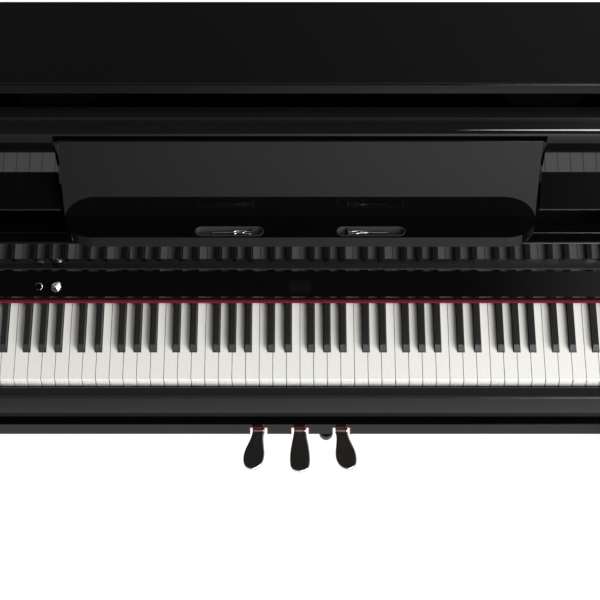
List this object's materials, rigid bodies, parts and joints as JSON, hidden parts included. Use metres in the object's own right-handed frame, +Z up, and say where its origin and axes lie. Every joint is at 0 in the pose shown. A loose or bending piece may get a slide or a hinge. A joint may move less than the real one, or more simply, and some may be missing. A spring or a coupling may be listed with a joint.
{
  "type": "digital piano",
  "caption": "Console digital piano in a polished black cabinet, with folding key cover, lid, music rest, weighted keys and three pedals.",
  "frame": {"origin": "on the floor, under the middle of the whole instrument's box", "axes": "+X to the player's right along the keyboard, +Y away from the player, +Z up"},
  "size_m": [1.39, 0.508, 1.2776],
  "materials": {
    "ebony_lacquer": "polished black lacquer",
    "black_board": "satin black board",
    "white_keytop": "satin white key top",
    "black_keytop": "matt black key top",
    "action_plastic": "moulded",
    "circuit_board": "green solder mask",
    "plated_steel": "zinc plated",
    "chrome_trim": "polished",
    "pedal_chrome": "polished",
    "display_glass": "dark window",
    "red_felt": "wool felt",
    "speaker_cloth": "woven cloth",
    "speaker_body": "paper cone and basket",
    "black_plastic": "moulded",
    "rubber": "soft"
  },
  "bodies": {
    "cabinet": {"adjuster_foot": "black_plastic", "arms": "ebony_lacquer", "back_panel": "black_board", "black_keys": "black_keytop", "bottom_board": "black_board", "cheek_blocks": "ebony_lacquer", "control_panel": "ebony_lacquer", "display_window": "display_glass", "floor_glides": "rubber", "front_legs": "ebony_lacquer", "grille_cloths": "speaker_cloth", "hinge_pins": "plated_steel", "inner_shelf": "black_board", "jack_box": "black_plastic", "key_frame": "action_plastic", "key_sensor_board": "circuit_board", "keybed": "black_board", "keyslip": "ebony_lacquer", "lower_front_board": "ebony_lacquer", "main_board": "circuit_board", "name_felt": "red_felt", "pedal_bracket": "plated_steel", "pedal_felts": "red_felt", "pedal_rail": "ebony_lacquer", "pedal_springs": "plated_steel", "power_inlet": "black_plastic", "power_supply": "plated_steel", "side_panels": "ebony_lacquer", "speaker_baffle": "black_board", "toe_blocks": "ebony_lacquer", "top_rail": "ebony_lacquer", "top_speakers": "speaker_body", "upper_front_panel": "ebony_lacquer", "white_keys": "white_keytop", "woofers": "speaker_body"},
    "lid": {"top_lid": "ebony_lacquer"},
    "prop": {"lid_prop": "plated_steel"},
    "cover": {"fallboard_main": "ebony_lacquer"},
    "cover_flap": {"fallboard_flap": "ebony_lacquer"},
    "music_rest": {"music_rest_panel": "ebony_lacquer", "music_ledge": "ebony_lacquer"},
    "left_page_clip": {"page_holder_left": "chrome_trim"},
    "right_page_clip": {"page_holder_right": "chrome_trim"},
    "power_push": {"power_button": "chrome_trim"},
    "volume_dial": {"volume_knob": "chrome_trim"},
    "left_pedal": {"pedal_left": "pedal_chrome"},
    "middle_pedal": {"pedal_middle": "pedal_chrome"},
    "right_pedal": {"pedal_right": "pedal_chrome"},
    "c4_key": {"key_c4": "white_keytop"},
    "d4_key": {"key_d4": "white_keytop"},
    "e4_key": {"key_e4": "white_keytop"},
    "f4_key": {"key_f4": "white_keytop"},
    "g4_key": {"key_g4": "white_keytop"},
    "a4_key": {"key_a4": "white_keytop"},
    "b4_key": {"key_b4": "white_keytop"},
    "c_sharp4_key": {"key_c_sharp4": "black_keytop"},
    "d_sharp4_key": {"key_d_sharp4": "black_keytop"},
    "f_sharp4_key": {"key_f_sharp4": "black_keytop"},
    "g_sharp4_key": {"key_g_sharp4": "black_keytop"},
    "a_sharp4_key": {"key_a_sharp4": "black_keytop"}
  },
  "joints": [
    {"name": "lid_hinge", "type": "hinge", "parent": "cabinet", "child": "lid", "pos_m": [0, 0.242, 1.161], "axis": [1, 0, 0], "range_deg": [0, 22.86]},
    {"name": "lid_prop_pivot", "type": "hinge", "parent": "cabinet", "child": "prop", "pos_m": [-0.658, 0.17, 1.14], "axis": [1, 0, 0], "range_deg": [0, 68.6]},
    {"name": "cover_hinge", "type": "hinge", "parent": "cabinet", "child": "cover", "pos_m": [0, -0.0345, 0.792], "axis": [1, 0, 0], "range_deg": [0, 105]},
    {"name": "cover_fold", "type": "hinge", "parent": "cover", "child": "cover_flap", "pos_m": [0, -0.0145, 0.8795], "axis": [1, 0, 0], "range_deg": [0, 180]},
    {"name": "music_rest_tilt", "type": "hinge", "parent": "cabinet", "child": "music_rest", "pos_m": [0, 0.01011, 1.12027], "axis": [1, 0, 0], "range_deg": [0, 14.7]},
    {"name": "left_clip_flip", "type": "hinge", "parent": "music_rest", "child": "left_page_clip", "pos_m": [-0.08, -0.07122, 0.96948], "axis": [0, 0.9673, -0.2538], "range_deg": [0, 90]},
    {"name": "right_clip_flip", "type": "hinge", "parent": "music_rest", "child": "right_page_clip", "pos_m": [0.08, -0.07122, 0.96948], "axis": [0, -0.9673, 0.2538], "range_deg": [0, 90]},
    {"name": "power_press", "type": "slide", "parent": "cabinet", "child": "power_push", "axis": [0, 0.5928, -0.8053], "range_m": [0, 0.002], "stiffness_N_per_m": 600, "springref_m": -0.002},
    {"name": "volume_turn", "type": "hinge", "parent": "cabinet", "child": "volume_dial", "pos_m": [-0.426, -0.0595, 0.77367], "axis": [0, -0.5928, 0.8053], "range_deg": [-150, 150]},
    {"name": "left_pedal_press", "type": "hinge", "parent": "cabinet", "child": "left_pedal", "pos_m": [-0.085, 0.094, 0.05], "axis": [1, 0, 0], "range_deg": [0, 8], "stiffness_Nm_per_rad": 10, "springref_deg": -5.73},
    {"name": "middle_pedal_press", "type": "hinge", "parent": "cabinet", "child": "middle_pedal", "pos_m": [0, 0.094, 0.05], "axis": [1, 0, 0], "range_deg": [0, 8], "stiffness_Nm_per_rad": 10, "springref_deg": -5.73},
    {"name": "right_pedal_press", "type": "hinge", "parent": "cabinet", "child": "right_pedal", "pos_m": [0.085, 0.094, 0.05], "axis": [1, 0, 0], "range_deg": [0, 8], "stiffness_Nm_per_rad": 10, "springref_deg": -5.73},
    {"name": "c4_key_press", "type": "hinge", "parent": "cabinet", "child": "c4_key", "pos_m": [0, 0.014, 0.721], "axis": [1, 0, 0], "range_deg": [0, 2.5], "stiffness_Nm_per_rad": 2, "springref_deg": -8.59},
    {"name": "d4_key_press", "type": "hinge", "parent": "cabinet", "child": "d4_key", "pos_m": [0, 0.014, 0.721], "axis": [1, 0, 0], "range_deg": [0, 2.5], "stiffness_Nm_per_rad": 2, "springref_deg": -8.59},
    {"name": "e4_key_press", "type": "hinge", "parent": "cabinet", "child": "e4_key", "pos_m": [0, 0.014, 0.721], "axis": [1, 0, 0], "range_deg": [0, 2.5], "stiffness_Nm_per_rad": 2, "springref_deg": -8.59},
    {"name": "f4_key_press", "type": "hinge", "parent": "cabinet", "child": "f4_key", "pos_m": [0, 0.014, 0.721], "axis": [1, 0, 0], "range_deg": [0, 2.5], "stiffness_Nm_per_rad": 2, "springref_deg": -8.59},
    {"name": "g4_key_press", "type": "hinge", "parent": "cabinet", "child": "g4_key", "pos_m": [0, 0.014, 0.721], "axis": [1, 0, 0], "range_deg": [0, 2.5], "stiffness_Nm_per_rad": 2, "springref_deg": -8.59},
    {"name": "a4_key_press", "type": "hinge", "parent": "cabinet", "child": "a4_key", "pos_m": [0, 0.014, 0.721], "axis": [1, 0, 0], "range_deg": [0, 2.5], "stiffness_Nm_per_rad": 2, "springref_deg": -8.59},
    {"name": "b4_key_press", "type": "hinge", "parent": "cabinet", "child": "b4_key", "pos_m": [0, 0.014, 0.721], "axis": [1, 0, 0], "range_deg": [0, 2.5], "stiffness_Nm_per_rad": 2, "springref_deg": -8.59},
    {"name": "c_sharp4_key_press", "type": "hinge", "parent": "cabinet", "child": "c_sharp4_key", "pos_m": [0, 0.014, 0.721], "axis": [1, 0, 0], "range_deg": [0, 2.5], "stiffness_Nm_per_rad": 2, "springref_deg": -8.59},
    {"name": "d_sharp4_key_press", "type": "hinge", "parent": "cabinet", "child": "d_sharp4_key", "pos_m": [0, 0.014, 0.721], "axis": [1, 0, 0], "range_deg": [0, 2.5], "stiffness_Nm_per_rad": 2, "springref_deg": -8.59},
    {"name": "f_sharp4_key_press", "type": "hinge", "parent": "cabinet", "child": "f_sharp4_key", "pos_m": [0, 0.014, 0.721], "axis": [1, 0, 0], "range_deg": [0, 2.5], "stiffness_Nm_per_rad": 2, "springref_deg": -8.59},
    {"name": "g_sharp4_key_press", "type": "hinge", "parent": "cabinet", "child": "g_sharp4_key", "pos_m": [0, 0.014, 0.721], "axis": [1, 0, 0], "range_deg": [0, 2.5], "stiffness_Nm_per_rad": 2, "springref_deg": -8.59},
    {"name": "a_sharp4_key_press", "type": "hinge", "parent": "cabinet", "child": "a_sharp4_key", "pos_m": [0, 0.014, 0.721], "axis": [1, 0, 0], "range_deg": [0, 2.5], "stiffness_Nm_per_rad": 2, "springref_deg": -8.59}
  ],
  "couplings": [
    {"joint": "lid_prop_pivot", "follows": "lid_hinge", "ratio": 3},
    {"joint": "cover_fold", "follows": "cover_hinge", "ratio": 1.714}
  ]
}
